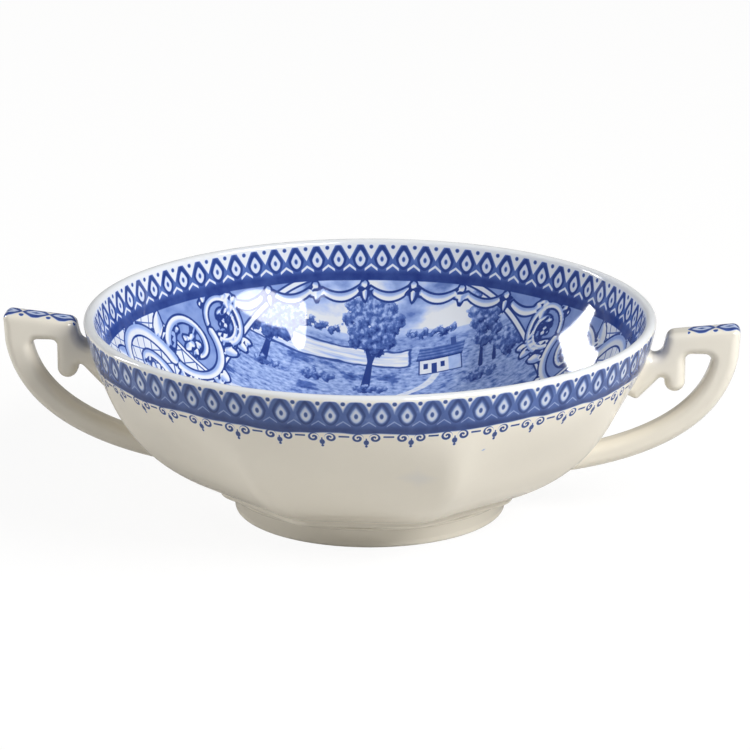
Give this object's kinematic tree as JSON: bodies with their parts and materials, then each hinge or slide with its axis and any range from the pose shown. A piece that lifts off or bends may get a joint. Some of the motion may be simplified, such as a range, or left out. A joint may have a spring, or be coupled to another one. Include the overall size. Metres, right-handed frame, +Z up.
{
  "type": "cream soup bowl",
  "caption": "Cream soup bowl with a handle on each side: round lip, flat-panelled body on a round foot ring, open cast handles with a spur, blue printed borders inside and out.",
  "frame": {"origin": "middle of the foot ring on the surface that it stands on", "axes": "+Z up out of the bowl, +X and -X along the two handles, -Y towards the viewer in the picture"},
  "size_m": [0.1652, 0.1276, 0.0451],
  "materials": {
    "printed_glaze": "glossy clear glaze over blue transfer print on cream earthenware",
    "cream_glaze": "glossy clear glaze on cream earthenware"
  },
  "bodies": {
    "root": {"bowl_body": "printed_glaze", "foot_ring": "cream_glaze", "left_handle": "cream_glaze", "right_handle": "cream_glaze"}
  },
  "joints": []
}
